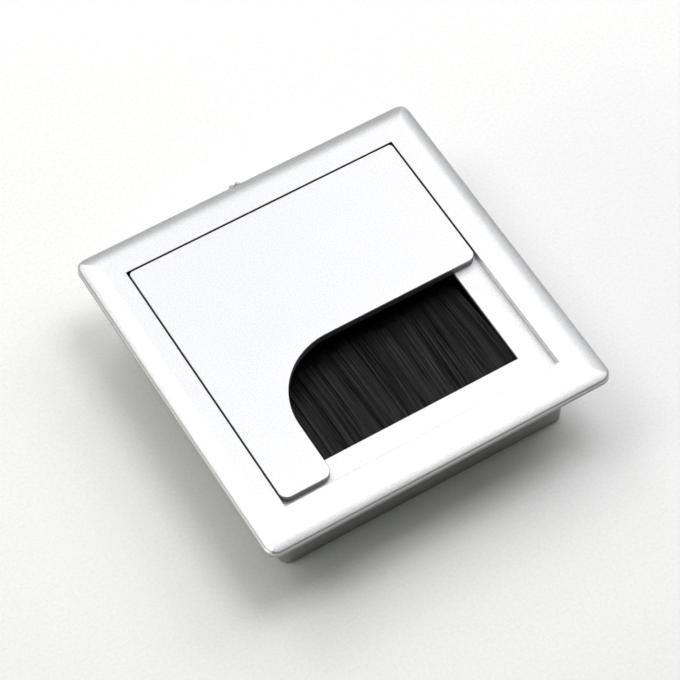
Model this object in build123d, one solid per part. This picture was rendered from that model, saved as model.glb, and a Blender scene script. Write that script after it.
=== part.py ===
from build123d import *
import math
import os

# Square desk cable grommet, in millimetres. The origin is the middle of the collar's lower rim,
# +Z is up, +Y points to the closed back of the lid and -Y to the edge that carries the brush.

# Frame: the collar that drops into the square cut-out of the desk
collar_side = 79.6
collar_corner_radius = 3.0
collar_height = 21.8
collar_wall = 1.8
collar_draft = 0.5
rim_edge_radius = 0.4

# Frame: the flange that lies on the desk top
flange_overhang = 7.2
flange_corner_radius = 3.0
flange_height = 2.7
lip_height = 1.45
lip_edge_radius = 0.9
crown_run = 5.0
lip_wall = 1.6
relief_depth = 1.0
gate_mark_x = -1.9
gate_mark_spacing = 1.5
gate_mark_radius = 0.8
gate_mark_height = 1.9
gate_mark_reach = 0.7
gate_mark_crown = 0.65
gate_mark_tip_radius = 0.3

# Frame: the recess for the lid, its ledge and the cable opening
recess_depth = 2.2
recess_edge_radius = 0.15
ledge_width = 6.9
ledge_thickness = 1.6
opening_edge_radius = 0.15

# Lid: an L-shaped plate that lies loose on the ledge
lid_clearance = 0.42
arm_width = 39.47
leg_width = 13.57
foot_gap = 1.5
inner_bend_radius = 18.2
arm_corner_radius = 2.2
foot_inner_radius = 2.5
foot_outer_radius = 2.2
back_corner_radius = 1.0
lid_edge_radius = 0.2
locating_rib_depth = 0.9
locating_rib_wall = 1.3
locating_rib_clearance = 0.3
locating_rib_setback = 0.15

# Strip brush: folded steel channel, core wire and tufts of nylon filament
brush_cover = 0.95
channel_height = 4.2
channel_depth = 4.6
channel_wall = 0.5
channel_bend_radius = 1.2
channel_mouth = 2.8
channel_crimp_run = 1.7
core_wire_radius = 0.75
filament_wrap = 0.5
wrap_flats = 8
brush_clearance = 0.05
tuft_pitch = 1.2
tuft_width = 1.05
tuft_tip_width = 0.85
tuft_middle_height = 3.2
tuft_tip_height = 2.0
tuft_lift = 0.25
tuft_droop = 1.9
trim_gap = 0.7
trim_scatter = 0.8
trim_set_back = 1.8
trim_reach = 2.0
trim_reach_run = 16.0
tuft_sway = 0.45
sway_length = 40.0

# Brush carrier: the moulded bar that holds the strip up against the ledge
carrier_base = 1.2
carrier_back = 1.0
carrier_lip_height = 0.5
carrier_lip_width = 0.8
carrier_lip_gap = 0.1
carrier_end_clearance = 0.4
carrier_wall_clearance = 0.3
boss_radius = 2.6
boss_clearance = 0.4
boss_wall_gap = 0.8
pilot_radius = 1.05
pilot_floor = 1.0

# Pan-head screws that hold the carrier
screw_radius = 1.0
screw_hole_clearance = 0.2
screw_length = 5.4
screw_head_radius = 2.1
screw_head_height = 1.5
screw_crown_chamfer = 0.6
screw_slot_width = 0.6
screw_slot_length = 2.4
screw_slot_depth = 0.8

cut_margin = 1.0

# Heights that the pieces share
flange_z = collar_height
top_z = flange_z + flange_height
ledge_z = top_z - recess_depth
ledge_under_z = ledge_z - ledge_thickness

# Widths, from the collar inwards: its wall, the screw bosses, the strip brush, then the opening that it covers
flange_side = collar_side + 2 * flange_overhang
flange_half = flange_side / 2
cavity_side = collar_side - 2 * collar_wall
boss_x = cavity_side / 2 - boss_wall_gap - boss_radius
channel_length = 2 * (boss_x - boss_radius - boss_clearance)
opening_side = channel_length - 2 * brush_cover
opening_half = opening_side / 2
recess_side = opening_side + 2 * ledge_width

# Lid edges, from the walls of the recess
lid_half = recess_side / 2 - lid_clearance
arm_front_y = lid_half - arm_width
leg_inner_x = -lid_half + leg_width
foot_front_y = -recess_side / 2 + foot_gap

# Strip brush, from the front wall of the cavity and the underside of the ledge
channel_back_y = -cavity_side / 2 + carrier_wall_clearance + carrier_back
channel_mouth_y = channel_back_y + channel_depth
channel_mid_z = ledge_under_z - channel_height / 2
channel_bottom_z = ledge_under_z - channel_height
core_wire_y = channel_back_y + channel_wall + brush_clearance + filament_wrap + core_wire_radius
boss_y = channel_back_y + channel_depth / 2
trim_y = arm_front_y - trim_gap


def crown_height(inset):
    """Height of the flange above its underside, at a distance inside its outer edge."""
    drop = flange_height - lip_height
    radius = (crown_run**2 + drop**2) / (2 * drop)
    along = max(crown_run - inset, 0)
    return flange_height - radius + math.sqrt(radius**2 - along**2)


def flange_block():
    """Plate with a crowned rim: the crowns of the four sides meet in mitres, and the outline has round corners."""
    insets = (0, crown_run / 2, crown_run)
    arc = ThreePointArc(*[(flange_half - inset, crown_height(inset)) for inset in insets])
    outline = arc + mirror(arc, about=Plane.YZ)
    outline += Polyline(arc @ 1, (-(arc @ 1).X, flange_height))
    outline += Polyline(arc @ 0, (flange_half, 0), (-flange_half, 0), (-flange_half, lip_height))
    crowned_bar = extrude(Plane.XZ * make_face(outline), amount=flange_half, both=True)
    block = crowned_bar & crowned_bar.rotate(Axis.Z, 90)
    block &= square_prism(flange_side, flange_corner_radius, 0, flange_height)
    rim_faces = block.faces().filter_by(lambda face: abs(face.normal_at().Z) < 0.01)
    lip_edges = rim_faces.edges().filter_by(lambda edge: edge.center().Z > lip_height - 0.01)
    lip_edges = lip_edges.filter_by(Axis.Z, reverse=True)
    block = fillet(lip_edges, lip_edge_radius)
    return Pos(0, 0, flange_z) * block


def square_prism(side, corner_radius, low_z, high_z):
    """Upright prism of square section between two heights."""
    section = RectangleRounded(side, side, corner_radius) if corner_radius else Rectangle(side, side)
    return extrude(Pos(0, 0, low_z) * section, amount=high_z - low_z)


def make_frame():
    """One moulding: flange, recess with its ledge, collar and two screw bosses."""
    collar_section = RectangleRounded(collar_side, collar_side, collar_corner_radius)
    collar = extrude(Pos(0, 0, flange_z) * collar_section, amount=-collar_height, taper=collar_draft)
    rim_edges = collar.faces().sort_by(Axis.Z)[0].edges()
    collar = fillet(rim_edges, rim_edge_radius)

    inner_radius = collar_corner_radius - collar_wall
    cavity_section = RectangleRounded(cavity_side, cavity_side, inner_radius)
    cavity_depth = ledge_under_z + cut_margin
    cavity = extrude(Pos(0, 0, ledge_under_z) * cavity_section, amount=-cavity_depth, taper=collar_draft)

    relief_side = flange_side - 2 * lip_wall
    relief_radius = flange_corner_radius - lip_wall
    relief_z = flange_z + relief_depth
    relief = square_prism(relief_side, relief_radius, flange_z - cut_margin, relief_z)
    relief -= square_prism(collar_side, collar_corner_radius, flange_z - cut_margin, relief_z)

    frame = flange_block() + collar
    frame -= cavity
    frame -= relief
    frame -= square_prism(recess_side, 0, ledge_z, top_z + cut_margin)
    frame -= square_prism(opening_side, 0, ledge_under_z - cut_margin, top_z)

    recess_edges = frame.edges().filter_by_position(Axis.Z, top_z - 0.01, top_z + 0.01)
    inside = recess_side / 2 + 0.01
    recess_edges = recess_edges.filter_by(lambda edge: max(abs(edge.center().X), abs(edge.center().Y)) < inside)
    frame = fillet(recess_edges, recess_edge_radius)
    mouth_edges = frame.edges().filter_by_position(Axis.Z, ledge_z - 0.01, ledge_z + 0.01)
    inside = opening_half + 0.01
    mouth_edges = mouth_edges.filter_by(lambda edge: max(abs(edge.center().X), abs(edge.center().Y)) < inside)
    frame = fillet(mouth_edges, opening_edge_radius)

    boss_height = ledge_under_z - channel_bottom_z
    pilot_top_z = ledge_z - pilot_floor
    for side in (-1, 1):
        place = Pos(side * boss_x, boss_y, 0)
        boss = Pos(0, 0, channel_bottom_z + boss_height / 2) * Cylinder(boss_radius, boss_height)
        pilot_depth = pilot_top_z - channel_bottom_z
        pilot = Pos(0, 0, channel_bottom_z + pilot_depth / 2) * Cylinder(pilot_radius, pilot_depth)
        frame += place * boss
        frame -= place * pilot

    # Two small lumps where the moulding gate was broken off the back edge
    for side in (-1, 1):
        lump_x = gate_mark_x + side * gate_mark_spacing / 2
        lump_y = flange_half + gate_mark_reach - gate_mark_radius
        lump = Cylinder(gate_mark_radius, gate_mark_height)
        upper_edge = lump.edges().group_by(Axis.Z)[-1]
        lump_wall = lump.faces().filter_by(GeomType.CYLINDER)[0]
        slope_run = gate_mark_radius - gate_mark_tip_radius
        lump = chamfer(upper_edge, gate_mark_crown, slope_run, reference=lump_wall)
        frame += Pos(lump_x, lump_y, flange_z + gate_mark_height / 2) * lump
    return frame


def round_corner(face, x, y, radius):
    """Round the corner of a flat face that lies nearest to a point."""
    vertex = face.vertices().sort_by_distance((x, y, 0))[0]
    return fillet(vertex, radius)


def lid_outline():
    """The L seen from above: a wide arm along the back and a leg down the left side."""
    corners = [
        (-lid_half, foot_front_y, foot_outer_radius),
        (leg_inner_x, foot_front_y, foot_inner_radius),
        (leg_inner_x, arm_front_y, inner_bend_radius),
        (lid_half, arm_front_y, arm_corner_radius),
        (lid_half, lid_half, back_corner_radius),
        (-lid_half, lid_half, back_corner_radius),
    ]
    face = make_face(Polyline(*[(x, y) for x, y, radius in corners], close=True))
    for x, y, radius in corners:
        face = round_corner(face, x, y, radius)
    return face


def make_lid():
    """Plate with a softened upper edge and a locating rib that dips into the opening."""
    outline = lid_outline()
    plate = extrude(Pos(0, 0, ledge_z) * outline, amount=recess_depth)
    plate = fillet(plate.faces().sort_by(Axis.Z)[-1].edges(), lid_edge_radius)
    rib_limit = opening_side - 2 * locating_rib_clearance
    rib_outline = offset(outline, amount=-locating_rib_setback) & Rectangle(rib_limit, rib_limit)
    rib_face = rib_outline - offset(rib_outline, amount=-locating_rib_wall, kind=Kind.INTERSECTION)
    rib = extrude(Pos(0, 0, ledge_z) * rib_face, amount=-locating_rib_depth)
    return plate + rib


def make_channel():
    """Folded strip, round at its back and crimped towards its mouth."""
    half = channel_height / 2
    mouth_half = channel_mouth / 2
    crimp_y = channel_mouth_y - channel_crimp_run
    outer_points = [
        (channel_back_y, -half),
        (crimp_y, -half),
        (channel_mouth_y, -mouth_half - channel_wall),
        (channel_mouth_y, mouth_half + channel_wall),
        (crimp_y, half),
        (channel_back_y, half),
    ]
    outer = make_face(Polyline(*outer_points, close=True))
    outer = round_corner(outer, channel_back_y, -half, channel_bend_radius)
    outer = round_corner(outer, channel_back_y, half, channel_bend_radius)
    inner_back_y = channel_back_y + channel_wall
    inner_half = half - channel_wall
    inner_radius = channel_bend_radius - channel_wall
    inner_points = [
        (inner_back_y, -inner_half),
        (crimp_y, -inner_half),
        (channel_mouth_y, -mouth_half),
        (channel_mouth_y + cut_margin, -mouth_half),
        (channel_mouth_y + cut_margin, mouth_half),
        (channel_mouth_y, mouth_half),
        (crimp_y, inner_half),
        (inner_back_y, inner_half),
    ]
    inner = make_face(Polyline(*inner_points, close=True))
    inner = round_corner(inner, inner_back_y, -inner_half, inner_radius)
    inner = round_corner(inner, inner_back_y, inner_half, inner_radius)
    section = Plane.YZ * Pos(0, channel_mid_z) * (outer - inner)
    return extrude(section, amount=channel_length / 2, both=True)


def make_core_wire():
    """Wire that locks the folded filaments in the channel."""
    wire = Rot(0, 90, 0) * Cylinder(core_wire_radius, channel_length)
    return Pos(0, core_wire_y, channel_mid_z) * wire


def make_tuft(number, x):
    """One tuft folded round the core wire: its side view and its plan, with its own length and sway."""
    root_half = core_wire_radius + filament_wrap
    hole_half = core_wire_radius + brush_clearance / 2
    flat_turn = 180 / wrap_flats
    uneven = (math.sin(1.7 * number) + 0.6 * math.sin(4.3 * number + 1)) / 1.6
    set_back = trim_set_back * max(0, -x / opening_half) ** 0.6
    reach = trim_reach * max(0, 1 - (opening_half - x) / trim_reach_run)
    tip_y = trim_y - trim_scatter * (0.5 + 0.5 * uneven) - set_back + reach
    middle_y = (channel_mouth_y + tip_y) / 2
    middle_z = channel_mid_z + tuft_lift - tuft_droop / 4
    tip_z = channel_mid_z + tuft_lift - tuft_droop

    blade_points = [
        (core_wire_y, channel_mid_z - root_half),
        (channel_mouth_y, channel_mid_z - root_half),
        (middle_y, middle_z - tuft_middle_height / 2),
        (tip_y, tip_z - tuft_tip_height / 2),
        (tip_y, tip_z + tuft_tip_height / 2),
        (middle_y, middle_z + tuft_middle_height / 2),
        (channel_mouth_y, channel_mid_z + root_half),
        (core_wire_y, channel_mid_z + root_half),
    ]
    wire_place = Pos(core_wire_y, channel_mid_z)
    side_view = make_face(Polyline(*blade_points, close=True))
    side_view += wire_place * RegularPolygon(root_half, wrap_flats, major_radius=False, rotation=flat_turn)
    side_view -= wire_place * RegularPolygon(hole_half, wrap_flats, major_radius=False, rotation=flat_turn)

    sway = tuft_sway * math.sin(2 * math.pi * x / sway_length)
    stations = [
        (channel_back_y, 0, tuft_width),
        (channel_mouth_y, 0, tuft_width),
        (middle_y, sway / 3, tuft_width),
        (tip_y + cut_margin, sway, tuft_tip_width),
    ]
    left_edge = [(x + shift - width / 2, y) for y, shift, width in stations]
    right_edge = [(x + shift + width / 2, y) for y, shift, width in stations]
    plan = make_face(Polyline(*left_edge, *reversed(right_edge), close=True))

    slice_half = tuft_width / 2 + tuft_sway
    slice_across = Pos(x, 0, 0) * extrude(Plane.YZ * side_view, amount=slice_half, both=True)
    slice_up = extrude(Pos(0, 0, channel_bottom_z - cut_margin) * plan, amount=channel_height + 2 * cut_margin)
    return slice_across & slice_up


def make_bristles():
    """Row of separate tufts that fills the channel."""
    count = int(channel_length / tuft_pitch)
    first_x = -(count - 1) * tuft_pitch / 2
    return Compound([make_tuft(number, first_x + number * tuft_pitch) for number in range(count)])


def make_carrier():
    """Bar under the channel, with a back wall, a front lip and a screw ear at each end."""
    end_x = cavity_side / 2 - carrier_end_clearance
    back_y = channel_back_y - carrier_back
    lip_y = channel_mouth_y + carrier_lip_gap
    front_y = lip_y + carrier_lip_width
    base_z = channel_bottom_z - carrier_base

    def block(half_x, low_y, high_y, low_z, high_z):
        size = Box(2 * half_x, high_y - low_y, high_z - low_z)
        return Pos(0, (low_y + high_y) / 2, (low_z + high_z) / 2) * size

    bar = block(end_x, back_y, front_y, base_z, channel_bottom_z)
    wall_end = channel_length / 2
    bar += block(wall_end, back_y, channel_back_y, channel_bottom_z, ledge_under_z)
    bar += block(wall_end, lip_y, front_y, channel_bottom_z, channel_bottom_z + carrier_lip_height)
    hole = Cylinder(screw_radius + screw_hole_clearance, 3 * carrier_base)
    for side in (-1, 1):
        bar -= Pos(side * boss_x, boss_y, base_z) * hole
    corners = bar.edges().filter_by(Axis.Z).filter_by(lambda edge: abs(edge.center().X) > end_x - 0.01)
    return fillet(corners, carrier_base)


def make_screw():
    """Pan-head screw with a cross recess, its seat at the origin and its head below."""
    head = Pos(0, 0, -screw_head_height / 2) * Cylinder(screw_head_radius, screw_head_height)
    head = chamfer(head.edges().group_by(Axis.Z)[0], screw_crown_chamfer)
    slot = Box(screw_slot_length, screw_slot_width, 2 * screw_slot_depth)
    slot = Pos(0, 0, -screw_head_height) * (slot + slot.rotate(Axis.Z, 90))
    shank = Pos(0, 0, screw_length / 2) * Cylinder(screw_radius, screw_length)
    shank = chamfer(shank.edges().group_by(Axis.Z)[-1], screw_radius / 2)
    return head + shank - slot


def make_screws():
    """The two carrier screws, each in its own boss."""
    seat_z = channel_bottom_z - carrier_base
    return Compound([Pos(side * boss_x, boss_y, seat_z) * make_screw() for side in (-1, 1)])


parts = {
    "frame": make_frame(),
    "lid": make_lid(),
    "brush_channel": make_channel(),
    "brush_core_wire": make_core_wire(),
    "brush_bristles": make_bristles(),
    "brush_carrier": make_carrier(),
    "carrier_screws": make_screws(),
}

os.makedirs("parts", exist_ok=True)
for name, shape in parts.items():
    shape.label = name
    export_step(shape, os.path.join("parts", name + ".step"))
    print(name, "solids", len(shape.solids()), "volume", round(shape.volume, 1))
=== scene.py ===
"""Square desk cable grommet: lacquered frame and loose lid, with a strip brush of black nylon filaments."""
import math
import random
from functools import reduce

import bpy
import numpy as np
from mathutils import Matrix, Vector


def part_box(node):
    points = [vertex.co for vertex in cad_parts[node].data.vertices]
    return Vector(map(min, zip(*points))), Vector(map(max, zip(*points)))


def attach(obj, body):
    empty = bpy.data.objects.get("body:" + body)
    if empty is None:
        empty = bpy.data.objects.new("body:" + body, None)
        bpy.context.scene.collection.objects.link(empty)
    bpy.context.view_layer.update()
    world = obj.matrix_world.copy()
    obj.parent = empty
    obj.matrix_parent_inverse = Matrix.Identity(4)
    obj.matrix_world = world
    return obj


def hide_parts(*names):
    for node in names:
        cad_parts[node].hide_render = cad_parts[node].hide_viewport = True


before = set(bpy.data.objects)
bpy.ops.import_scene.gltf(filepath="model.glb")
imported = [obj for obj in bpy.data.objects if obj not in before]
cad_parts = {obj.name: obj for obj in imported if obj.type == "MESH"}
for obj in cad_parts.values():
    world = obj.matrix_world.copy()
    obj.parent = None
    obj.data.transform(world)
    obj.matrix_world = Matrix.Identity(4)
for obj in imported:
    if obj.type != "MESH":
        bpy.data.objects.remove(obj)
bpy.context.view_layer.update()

MM = 0.001
SEED = 7

# Where the photograph was taken from, seen from the object
CAMERA_AZIMUTH = -31.23
CAMERA_ELEVATION = 57.68
CAMERA_DISTANCE = 698.3 * MM
CAMERA_TARGET = Vector((-2.6, -4.1, 21.8)) * MM
FOCAL_LENGTH_PX = 2933
IMAGE_PX = 680
SENSOR_MM = 36


def direction(azimuth, elevation):
    """Unit vector from the object towards a place round it; azimuth 0 is in front, at -Y."""
    a, e = math.radians(azimuth), math.radians(elevation)
    return Vector((math.sin(a) * math.cos(e), -math.cos(a) * math.cos(e), math.sin(e)))


def add_camera():
    """Camera at the photograph's place and focal length."""
    data = bpy.data.cameras.new("camera")
    data.sensor_width = SENSOR_MM
    data.lens = FOCAL_LENGTH_PX / IMAGE_PX * SENSOR_MM
    data.clip_start, data.clip_end = 0.05, 50
    camera = bpy.data.objects.new("camera", data)
    bpy.context.collection.objects.link(camera)
    back = direction(CAMERA_AZIMUTH, CAMERA_ELEVATION)
    camera.location = CAMERA_TARGET + back * CAMERA_DISTANCE
    camera.rotation_mode = "QUATERNION"
    camera.rotation_quaternion = (-back).to_track_quat("-Z", "Y")
    bpy.context.scene.camera = camera


# Light: soft boxes round the back and the sides of the object, with hardly any in front, in an almost dark room.
# The low one on the left is a little greenish, so that the shadows are too, and the highest one is a little cooler.
SURROUND_STRENGTH = 0.03
PANEL_TARGET = Vector((0, 0, 20)) * MM
PANEL_DISTANCE = 1.1
PANEL_SIDE = 0.46
NEUTRAL = "#ffffff"
COOL = "#fdfdff"
GREENISH = "#f9fdee"
PALE_GREEN = "#dcefb4"


def add_panel(name, azimuth, elevation, radiance, colour):
    """Square soft box that faces the object; radiance is what a mirror would show of it."""
    data = bpy.data.lights.new(name, "AREA")
    data.shape = "SQUARE"
    data.size = PANEL_SIDE
    data.energy = radiance * math.pi * PANEL_SIDE ** 2
    data.color = linear(colour)[:3]
    panel = bpy.data.objects.new(name, data)
    bpy.context.collection.objects.link(panel)
    outward = direction(azimuth, elevation)
    panel.location = PANEL_TARGET + outward * PANEL_DISTANCE
    panel.rotation_mode = "QUATERNION"
    panel.rotation_quaternion = (-outward).to_track_quat("-Z", "Y")


def light_the_scene():
    """Dim greenish surround and the soft boxes."""
    world = bpy.data.worlds.new("surround")
    world.use_nodes = True
    surround = world.node_tree.nodes["Background"]
    surround.inputs["Color"].default_value = linear(PALE_GREEN)
    surround.inputs["Strength"].default_value = SURROUND_STRENGTH
    bpy.context.scene.world = world
    add_panel("box_overhead_right", 108, 75, 6.1, COOL)
    add_panel("box_high_left", -123, 58, 4.1, NEUTRAL)
    add_panel("box_high_back", -168, 58, 2.1, NEUTRAL)
    add_panel("box_high_front_right", 57, 58, 1.6, NEUTRAL)
    add_panel("box_right", 100, 42, 3.0, NEUTRAL)
    add_panel("box_back_right", 140, 42, 2.7, NEUTRAL)
    add_panel("box_back", 180, 42, 2.5, NEUTRAL)
    add_panel("box_grazing_left", -95, 10, 5.6, GREENISH)
    bpy.context.scene.view_settings.view_transform = "Standard"


# Materials

# A surface counts as a steep side where its normal rises by less than this
STEEP = 0.35

# Silver lacquer on a black moulding
METALLIC_SHARE = 0.65
# This near black is the bare moulding at the gate mark and painted shade wherever else it is mixed in
MOULDING_AND_SHADE_COLOUR = "#161617"
CLOUD_SIZE_MM = 9.0
# Real aluminium flake is finer than the eye sees; its grains are drawn just coarse enough to show
FLAKE_SIZE_MM = 0.35
FLAKE_RELIEF = 0.03 * MM

# Frame: how far its ledge lies under its top, from the Z axis to the inside of the collar, and the heights of the
# flange and of its upright lip above the flange's underside
RECESS_DEPTH = 2.2 * MM
INSIDE_COLLAR = 38.4 * MM
FLANGE_HEIGHT = 2.7 * MM
LIP_HEIGHT = 1.45 * MM

# Lid: width of its arm, rounding of its corners, and its distance to the recess's wall with some to spare
ARM_WIDTH = 39.47 * MM
LID_CORNER = 2.3 * MM
GAP_REACH = 1 * MM

# Where painted shade sets in: inside the collar below the ledge, where the moulding is also bare, in the gap round
# the lid below its top, and on the lid's sides below a height above the ledge. A fade is the height over which it
# sets in.
COLLAR_SHADE_START = 0.3 * MM
COLLAR_SHADE_FADE = 0.6 * MM
GAP_SHADE_START = 0.05 * MM
SHARP_FADE = 0.2 * MM
LID_SHADE_HEIGHT = 0.5 * MM

# How dark the painted shade makes the steep sides, over which height it sets in there, and the same for the painted
# shade in the crease at the foot of the recess's wall
FRAME_SIDES_SHADE = 0.52
LID_SIDES_SHADE = 0.72
SIDE_SHADE_FADE = 0.8 * MM
WALL_FOOT_SHADE = 0.5
WALL_FOOT_HEIGHT = 0.35 * MM

# Painted highlight line along the lower edge of the lid's sides, a light line in the painted shade there: its
# height above the ledge, half its width, and the size of its patches
HIGHLIGHT_LINE_HEIGHT = 0.1 * MM
HIGHLIGHT_LINE_HALF_WIDTH = 0.14 * MM
HIGHLIGHT_LINE_PATCH_MM = 1.5

# Gate mark: where it stands on the back edge, how far the torn patch reaches and how bare it is, and its lumps,
# whose relief is counted in that of the flake
GATE_MARK_X = -1.9 * MM
GATE_MARK_LIFT = 1 * MM
GATE_MARK_REACH = 2.4 * MM
GATE_MARK_BARE = 0.4
GATE_LUMP_SIZE_MM = 0.7
GATE_LUMP_RELIEF = 8


def linear(hex_colour):
    """An sRGB hex colour as linear red, green, blue and alpha."""
    levels = [int(hex_colour[i:i + 2], 16) / 255 for i in (1, 3, 5)]
    return [v / 12.92 if v <= 0.04045 else ((v + 0.055) / 1.055) ** 2.4 for v in levels] + [1.0]


def enabled_input(node, name):
    """A node's input in use, by its place in the list or its name: some names repeat for each kind of value."""
    if isinstance(name, int):
        return node.inputs[name]
    return next(socket for socket in node.inputs if socket.name == name and socket.enabled)


def add_node(tree, kind, inputs=None, **settings):
    """Adds a node with its settings; each input is a value or another node's output."""
    node = tree.nodes.new("ShaderNode" + kind)
    for name, value in settings.items():
        setattr(node, name, value)
    for name, value in (inputs or {}).items():
        socket = enabled_input(node, name)
        if isinstance(value, bpy.types.NodeSocket):
            tree.links.new(value, socket)
        else:
            socket.default_value = value
    return node


def new_material(name, **surface):
    """Material with a Principled surface; returns the material, its tree, its shader and object coordinates."""
    material = bpy.data.materials.new(name)
    material.use_nodes = True
    tree = material.node_tree
    shader = tree.nodes["Principled BSDF"]
    for socket, value in surface.items():
        shader.inputs[socket.replace("_", " ")].default_value = value
    coordinates = add_node(tree, "TexCoord").outputs["Object"]
    return material, tree, shader, coordinates


def grain(tree, coordinates, size_mm, detail=2.0, stretch=(1, 1, 1)):
    """Noise whose grains are about size_mm across, stretched along an axis where a factor is below 1."""
    mapped = add_node(tree, "Mapping", {"Vector": coordinates, "Scale": stretch})
    noise = add_node(tree, "TexNoise", {"Vector": mapped.outputs["Vector"], "Scale": 1 / (size_mm * MM),
                                        "Detail": detail})
    return noise.outputs["Fac"]


def between(tree, factor, low, high):
    """A number that runs from low to high as the factor goes from 0.3 to 0.7, where most of a noise lies."""
    ranged = add_node(tree, "MapRange", {"Value": factor, "From Min": 0.3, "From Max": 0.7,
                                         "To Min": low, "To Max": high})
    return ranged.outputs["Result"]


def mixed(tree, factor, colour_a, colour_b):
    """Colour that goes from one hex colour to another as the factor goes from 0.3 to 0.7."""
    ramp = add_node(tree, "ValToRGB", {"Fac": factor})
    ramp.color_ramp.elements[0].position, ramp.color_ramp.elements[1].position = 0.3, 0.7
    ramp.color_ramp.elements[0].color = linear(colour_a)
    ramp.color_ramp.elements[1].color = linear(colour_b)
    return ramp.outputs["Color"]


def all_of(tree, *factors):
    """Factor for where all of these factors hold: their product."""
    return reduce(lambda a, b: add_node(tree, "Math", {0: a, 1: b}, operation="MULTIPLY").outputs[0], factors)


def any_of(tree, *factors):
    """Factor for where any of these factors holds: the highest."""
    return reduce(lambda a, b: add_node(tree, "Math", {0: a, 1: b}, operation="MAXIMUM").outputs[0], factors)


def beyond(tree, value, limit):
    """Factor that is 1 where a value is above a limit, and 0 elsewhere."""
    return add_node(tree, "Math", {0: value, 1: limit}, operation="GREATER_THAN").outputs[0]


def below(tree, place, height, fade):
    """Factor that rises from 0 to 1 over a fade downwards from a height."""
    axes = add_node(tree, "SeparateXYZ", {"Vector": place})
    ranged = add_node(tree, "MapRange", {"Value": axes.outputs["Z"], "From Min": height, "From Max": height - fade})
    return ranged.outputs["Result"]


def at_height(tree, place, height, half_width):
    """Factor that is 1 in a band round a height and 0 away from it."""
    axes = add_node(tree, "SeparateXYZ", {"Vector": place})
    return add_node(tree, "Math", {0: axes.outputs["Z"], 1: height, 2: half_width}, operation="COMPARE").outputs[0]


def inside_square(tree, place, half):
    """Factor that is 1 within a distance of the Z axis on both X and Y, and 0 outside."""
    axes = add_node(tree, "SeparateXYZ", {"Vector": place})
    reach = [add_node(tree, "Math", {0: axes.outputs[axis]}, operation="ABSOLUTE").outputs[0] for axis in "XY"]
    return beyond(tree, half, any_of(tree, *reach))


def near_point(tree, place, point, reach):
    """Factor that falls from 1 at a point to 0 at a distance from it."""
    away = add_node(tree, "VectorMath", {0: place, 1: point}, operation="DISTANCE").outputs["Value"]
    ranged = add_node(tree, "MapRange", {"Value": away, "From Min": reach, "From Max": 0.5 * reach})
    return ranged.outputs["Result"]


def upward(tree):
    """How far the surface faces up, from -1 to 1."""
    normal = add_node(tree, "NewGeometry").outputs["Normal"]
    return add_node(tree, "SeparateXYZ", {"Vector": normal}).outputs["Z"]


def painted_shade_under_lid(tree, place, low, high):
    """Factor for painted shade that is 1 under the lid and in the gap round it, and 0 on the ledge that stays open.
    """
    axes = add_node(tree, "SeparateXYZ", {"Vector": place})
    x, y = axes.outputs["X"], axes.outputs["Y"]
    arm = beyond(tree, y, high.y - ARM_WIDTH + LID_CORNER)
    leg = all_of(tree, beyond(tree, low.x + LID_CORNER, x), beyond(tree, y, low.y + LID_CORNER))
    in_recess = inside_square(tree, place, high.x + GAP_REACH)
    # Painted shade in the gap starts just under the top
    deep = below(tree, place, high.z - GAP_SHADE_START, SHARP_FADE)
    return all_of(tree, any_of(tree, arm, leg), in_recess, deep)


def silver_lacquer(name):
    """New material for the silver lacquer, with the thin gloss that its binder leaves on top."""
    return new_material(name, Coat_Weight=0.12, Coat_Roughness=0.25)


def spray_silver(tree, shader, place, bare_and_painted_shade, lumps=0):
    """Silver spray lacquer on a black moulding: aluminium flake that glitters finely, satin and almost white in
    light. The moulding's black is mixed in where a patch is bare and where shade is painted, and lumps add to the
    flake's relief."""
    flake = grain(tree, place, FLAKE_SIZE_MM, detail=1.0)
    cloud = grain(tree, place, CLOUD_SIZE_MM)
    metallic = add_node(tree, "MapRange", {"Value": bare_and_painted_shade, "To Min": METALLIC_SHARE, "To Max": 0.0})
    tree.links.new(metallic.outputs["Result"], shader.inputs["Metallic"])
    lacquer = mixed(tree, flake, "#cbcbcd", "#dcdcde")
    # Mixes in near black where a patch is bare and where shade is painted
    colour = add_node(tree, "Mix", {"Factor": bare_and_painted_shade, "A": lacquer, "B": linear(MOULDING_AND_SHADE_COLOUR)}, data_type="RGBA")
    tree.links.new(colour.outputs["Result"], shader.inputs["Base Color"])
    tree.links.new(between(tree, cloud, 0.37, 0.4), shader.inputs["Roughness"])
    relief = add_node(tree, "Math", {0: flake, 1: lumps}, operation="ADD")
    bump = add_node(tree, "Bump", {"Height": relief.outputs[0], "Strength": 0.8, "Distance": FLAKE_RELIEF})
    tree.links.new(bump.outputs["Normal"], shader.inputs["Normal"])


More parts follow.
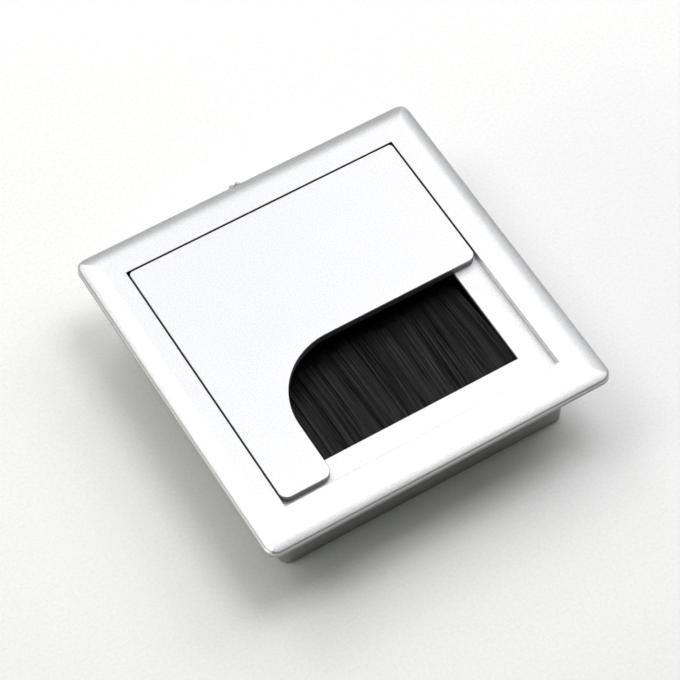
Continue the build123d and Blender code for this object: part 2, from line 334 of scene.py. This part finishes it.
def frame_lacquer(frame_box, lid_box):
    """Lacquer of the frame, sprayed from above and torn at the gate mark. Painted shade darkens it to the
    moulding's black inside the collar, where the moulding is also bare, under the lid, in the gap round it, on
    steep sides and at the wall's foot."""
    material, tree, shader, place = silver_lacquer("silver_lacquer")
    top = frame_box[1].z
    ledge, underside = top - RECESS_DEPTH, top - FLANGE_HEIGHT
    steep = beyond(tree, STEEP, upward(tree))

    # Inside the collar below the ledge: the bare moulding, and painted shade for the dark well
    within = all_of(tree, below(tree, place, ledge - COLLAR_SHADE_START, COLLAR_SHADE_FADE),
                    inside_square(tree, place, INSIDE_COLLAR))
    wall = all_of(tree, inside_square(tree, place, lid_box[1].x + GAP_REACH), steep)
    # Painted shade in the crease at the foot of the recess's wall
    wall_foot = below(tree, place, ledge + WALL_FOOT_HEIGHT, SHARP_FADE)
    # Painted shade on the steep sides below the lip, where the collar lies under the flange
    sides = all_of(tree, below(tree, place, underside + LIP_HEIGHT, SIDE_SHADE_FADE), steep)
    elsewhere = add_node(tree, "Math", {0: 1, 1: wall}, operation="SUBTRACT").outputs[0]
    gate_mark = (GATE_MARK_X, frame_box[1].y, underside + GATE_MARK_LIFT)
    torn = near_point(tree, place, gate_mark, GATE_MARK_REACH)

    # Painted shade under the lid, in the gap round it, inside the collar, at the wall's foot and on steep sides;
    # only the gate mark is really bare
    bare_and_painted_shade = any_of(tree, within, painted_shade_under_lid(tree, place, *lid_box), all_of(tree, wall_foot, wall, WALL_FOOT_SHADE),
                  all_of(tree, sides, elsewhere, FRAME_SIDES_SHADE), all_of(tree, torn, GATE_MARK_BARE))
    lumps = all_of(tree, grain(tree, place, GATE_LUMP_SIZE_MM), torn, GATE_LUMP_RELIEF)
    spray_silver(tree, shader, place, bare_and_painted_shade, lumps)
    return material


def lid_lacquer(lid_box):
    """Lacquer of the lid, sprayed from above. Painted shade darkens its sides, and its underside and lower part to
    black, with a painted highlight line along the lower edge of its sides."""
    material, tree, shader, place = silver_lacquer("silver_lacquer_lid")
    top = lid_box[1].z
    ledge = top - RECESS_DEPTH
    steep = beyond(tree, STEEP, upward(tree))

    # Painted shade under the lid, from a height above the ledge downwards
    low = all_of(tree, below(tree, place, ledge + LID_SHADE_HEIGHT, LID_SHADE_HEIGHT),
                 inside_square(tree, place, INSIDE_COLLAR))
    upright = beyond(tree, upward(tree), -STEEP)
    # Painted highlight: a broken light line along the lower edge of the lid's sides
    painted_highlight_line = all_of(tree, grain(tree, place, HIGHLIGHT_LINE_PATCH_MM),
                   at_height(tree, place, ledge + HIGHLIGHT_LINE_HEIGHT, HIGHLIGHT_LINE_HALF_WIDTH), upright)
    # Painted shade on the lid's steep sides
    sides = all_of(tree, below(tree, place, top, SIDE_SHADE_FADE), steep)
    low_but_highlight = add_node(tree, "Math", {0: low, 1: painted_highlight_line}, operation="SUBTRACT").outputs[0]
    bare_and_painted_shade = any_of(tree, low_but_highlight, all_of(tree, sides, LID_SIDES_SHADE))
    spray_silver(tree, shader, place, bare_and_painted_shade)
    return material


def black_nylon():
    """Extruded nylon filament: near black, with a soft gleam along each filament and some a little greyer."""
    material, tree, shader, place = new_material("black_nylon_filament", Roughness=0.5, Specular_IOR_Level=0.3)
    streak = grain(tree, place, 0.5, stretch=(1, 0.03, 0.6))
    tree.links.new(mixed(tree, streak, "#080908", "#111312"), shader.inputs["Base Color"])
    return material


def zinc_plated_steel():
    """Rolled steel strip with bright zinc: grey metal with faint rolling lines and dull patches."""
    material, tree, shader, place = new_material("zinc_plated_steel", Metallic=1.0)
    rolling = grain(tree, place, 0.3, stretch=(0.04, 1, 1))
    patch = grain(tree, place, 3.0)
    tree.links.new(mixed(tree, patch, "#a9adb1", "#c3c6c9"), shader.inputs["Base Color"])
    tree.links.new(between(tree, rolling, 0.28, 0.42), shader.inputs["Roughness"])
    return material


def black_abs():
    """Moulded black ABS with a fine spark-eroded texture: matt, with soft broken highlights."""
    material, tree, shader, place = new_material("black_abs", IOR=1.54)
    texture = grain(tree, place, 0.18, detail=1.0)
    tree.links.new(mixed(tree, texture, "#151517", "#1e1e20"), shader.inputs["Base Color"])
    tree.links.new(between(tree, texture, 0.5, 0.66), shader.inputs["Roughness"])
    bump = add_node(tree, "Bump", {"Height": texture, "Strength": 0.3, "Distance": 0.02 * MM})
    tree.links.new(bump.outputs["Normal"], shader.inputs["Normal"])
    return material


def studio_paper():
    """Matt white background paper: pulp with faint fibres, drawn coarse enough to show."""
    material, tree, shader, place = new_material("studio_paper", Roughness=0.9, Specular_IOR_Level=0.2)
    fibre = grain(tree, place, 0.8)
    tree.links.new(mixed(tree, fibre, "#f5f5f5", "#fdfdfd"), shader.inputs["Base Color"])
    return material


def dress(node, material):
    """Gives a solid of the frame its finish."""
    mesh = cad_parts[node].data
    mesh.materials.clear()
    mesh.materials.append(material)


# Floor

FLOOR_SIDE = 8


def add_floor():
    """Large sheet of paper under the object."""
    bpy.ops.object.select_all(action="DESELECT")
    bpy.ops.mesh.primitive_plane_add(size=FLOOR_SIDE)
    floor = bpy.context.object
    floor.name = "paper_floor"
    floor.data.materials.append(studio_paper())


# Strip brush: each filament is folded round the core wire, so both its ends are tips

BUNCHES = 3
FILAMENTS_PER_BUNCH = 1600
FILAMENT_RADIUS = 0.075 * MM
LEG_RINGS = 5
FOLD_RINGS = 4
WIRE_RADIUS = 0.75 * MM
WRAP_DEPTH = (0.13 * MM, 0.38 * MM)
END_CLEARANCE = 0.1 * MM

# Bundles of filaments that cling together: their spacing along the brush, how strongly they cling, and how far
# each one may rise, lean and be cut short
BUNDLE_SPACING = (0.9 * MM, 4.0 * MM)
BUNDLE_CLING = (0.03, 0.17)
BUNDLE_LIFT = 0.09 * MM
BUNDLE_LEAN = 0.008
BUNDLE_CUT = 0.9 * MM

# Single filaments: how far they may be cut short, rise and lean; a few stray much more
FILAMENT_CUT = 0.7 * MM
FILAMENT_LIFT = 0.05 * MM
FILAMENT_LEAN = 0.007
STRAY_SHARE = 0.03
STRAY_FACTOR = 4

# Form of the whole brush: half its thickness, how soon its layers have spread to that and how much they close up
# again at the tips, its rise off the mouth and its droop, and how much farther the lower filaments reach, under the
# lid's arm
HALF_THICKNESS = 1.35 * MM
SPREADING = 1.6
CLOSING_UP = 0.3
RISE = 0.25 * MM
DROOP = 1.9 * MM
LOW_FILAMENT_REACH = (1.0 * MM, 5.0 * MM)

# Places along the brush where the filaments lean to one side: slope to +X, middle and width of the place
LEANING_PLACES = ((0.05, 14 * MM, 9 * MM), (-0.03, 31 * MM, 6 * MM))

# Trim of the tips: how far they stay behind at the left end, and in the middle against the right end
LEFT_TRIM = 1.8 * MM
RIGHT_TRIM = 2.0 * MM
RIGHT_TRIM_LENGTH = 16 * MM


def straight_filament():
    """Straight three-sided rod of unit length with a ring of edges at each bend."""
    bpy.ops.object.select_all(action="DESELECT")
    bpy.ops.mesh.primitive_cylinder_add(vertices=3, radius=FILAMENT_RADIUS, depth=1, location=(0, 0, 0.5))
    rod = bpy.context.object
    bpy.ops.object.transform_apply(location=True)
    bpy.ops.object.mode_set(mode="EDIT")
    bpy.ops.mesh.select_mode(type="EDGE")
    bpy.ops.mesh.select_all(action="DESELECT")
    bpy.ops.object.mode_set(mode="OBJECT")
    for edge in rod.data.edges:
        a, b = (rod.data.vertices[i].co for i in edge.vertices)
        edge.select = abs(a.z - b.z) > 0.5
    bpy.ops.object.mode_set(mode="EDIT")
    bpy.ops.mesh.subdivide(number_cuts=2 * LEG_RINGS + FOLD_RINGS - 2)
    bpy.ops.object.mode_set(mode="OBJECT")
    bpy.ops.object.shade_smooth_by_angle(angle=math.radians(80))
    return rod


def bundle_centres(rng, low, high):
    """Places of the bundles in which the filaments cling together, along X."""
    centres = [low]
    while centres[-1] < high:
        centres.append(centres[-1] + rng.uniform(*BUNDLE_SPACING))
    return np.array(centres)


def lean_angle(x):
    """Slope with which the filaments lean to +X, from their place along the brush."""
    return sum(slope * math.exp(-((x - middle) / width) ** 2) for slope, middle, width in LEANING_PLACES)


def trim_line(x, half_length):
    """How far the tips stay behind those of the right end, at a place along the brush."""
    left = LEFT_TRIM * max(0, -x / half_length) ** 0.6
    right = RIGHT_TRIM * min(1, (half_length - x) / RIGHT_TRIM_LENGTH)
    return left + right


class Brush:
    """Sizes of the strip brush from the solids, and the bundles that all its filaments share."""

    def __init__(self, rng):
        wire_low, wire_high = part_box("brush_core_wire")
        low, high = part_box("brush_bristles")
        self.wire_y, self.wire_z = (wire_low.y + wire_high.y) / 2, (wire_low.z + wire_high.z) / 2
        self.mouth_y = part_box("brush_channel")[1].y
        self.half_length, self.tip_y = high.x, high.y
        self.centres = bundle_centres(rng, -self.half_length, self.half_length)
        self.cling = [rng.uniform(*BUNDLE_CLING) for centre in self.centres]
        self.lift = [rng.uniform(-BUNDLE_LIFT, BUNDLE_LIFT) for centre in self.centres]
        self.lean = [rng.uniform(-BUNDLE_LEAN, BUNDLE_LEAN) for centre in self.centres]
        self.cut = [rng.uniform(0, BUNDLE_CUT) for centre in self.centres]


def leg_of_filament(brush, rng, root_x, wrap, side):
    """Points from the channel's mouth to one tip, above the wire or below it."""
    bundle = int(np.argmin(abs(brush.centres - root_x)))
    stray = STRAY_FACTOR if rng.random() < STRAY_SHARE else 1
    cut = brush.cut[bundle] + rng.uniform(0, FILAMENT_CUT)
    layer = side * HALF_THICKNESS * rng.uniform(0.02, 1) ** 0.7
    tip_y = brush.tip_y - trim_line(root_x, brush.half_length) - cut
    if side < 0:
        tip_y += rng.uniform(*LOW_FILAMENT_REACH)
    lean = lean_angle(root_x) + brush.lean[bundle] + stray * rng.gauss(0, FILAMENT_LEAN)
    cling = brush.cling[bundle] * (brush.centres[bundle] - root_x)
    lift = brush.lift[bundle] + stray * rng.gauss(0, FILAMENT_LIFT)
    leg = []
    for step in range(LEG_RINGS):
        run = step / (LEG_RINGS - 1)
        y = brush.mouth_y + (tip_y - brush.mouth_y) * run
        x = root_x + lean * (y - brush.mouth_y) * run ** 0.5 + cling * run
        spread = side * wrap + (layer - side * wrap) * math.sin(math.pi / 2 * min(1, SPREADING * run))
        droop = RISE * run - DROOP * run ** 2
        leg.append((x, y, brush.wire_z + spread * (1 - CLOSING_UP * run ** 2) + droop + lift * run))
    return leg


def filament_line(brush, rng):
    """Centre line of one filament, from its upper tip round the wire to its lower tip."""
    root_x = rng.uniform(-brush.half_length + END_CLEARANCE, brush.half_length - END_CLEARANCE)
    wrap = WIRE_RADIUS + rng.uniform(*WRAP_DEPTH)
    fold = []
    for step in range(FOLD_RINGS):
        turn = math.pi / 2 + math.pi * step / (FOLD_RINGS - 1)
        fold.append((root_x, brush.wire_y + wrap * math.cos(turn), brush.wire_z + wrap * math.sin(turn)))
    upper, lower = (leg_of_filament(brush, rng, root_x, wrap, side) for side in (1, -1))
    return np.array(upper[::-1] + fold + lower)


def bent_along(rod, line, spin):
    """The straight rod's points, carried to a line and turned about it."""
    points = np.array([vertex.co for vertex in rod.data.vertices])
    ring = np.rint(points[:, 2] * (len(line) - 1)).astype(int)
    along = np.gradient(line, axis=0)
    along /= np.linalg.norm(along, axis=1)[:, None]
    across = np.tile((1.0, 0.0, 0.0), (len(line), 1))
    up = np.cross(along, across)
    up /= np.linalg.norm(up, axis=1)[:, None]
    c, s = math.cos(spin), math.sin(spin)
    turned = points[:, :2] @ np.array([[c, s], [-s, c]])
    return line[ring] + across[ring] * turned[:, :1] + up[ring] * turned[:, 1:]


def add_filaments():
    """All filaments of the brush, in bunches that each become one mesh."""
    rng = random.Random(SEED)
    brush = Brush(rng)
    rod = straight_filament()
    nylon = black_nylon()
    for bunch in range(BUNCHES):
        copies = []
        for number in range(FILAMENTS_PER_BUNCH):
            copy = bpy.data.objects.new("filament", rod.data.copy())
            bpy.context.collection.objects.link(copy)
            points = bent_along(rod, filament_line(brush, rng), rng.uniform(0, 2 * math.pi))
            copy.data.vertices.foreach_set("co", points.astype(np.float32).ravel())
            copies.append(copy)
        bpy.ops.object.select_all(action="DESELECT")
        for copy in copies:
            copy.select_set(True)
        bpy.context.view_layer.objects.active = copies[0]
        bpy.ops.object.join()
        filaments = bpy.context.object
        filaments.name = f"brush_filaments_{bunch + 1}"
        filaments.data.materials.clear()
        filaments.data.materials.append(nylon)
        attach(filaments, "root")
        if bunch == 0:
            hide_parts("brush_bristles")
    bpy.data.objects.remove(rod)


add_camera()
light_the_scene()
add_floor()
lid_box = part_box("lid")
dress("frame", frame_lacquer(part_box("frame"), lid_box))
dress("lid", lid_lacquer(lid_box))
zinc = zinc_plated_steel()
for node in ("brush_channel", "brush_core_wire", "carrier_screws"):
    dress(node, zinc)
dress("brush_carrier", black_abs())
add_filaments()
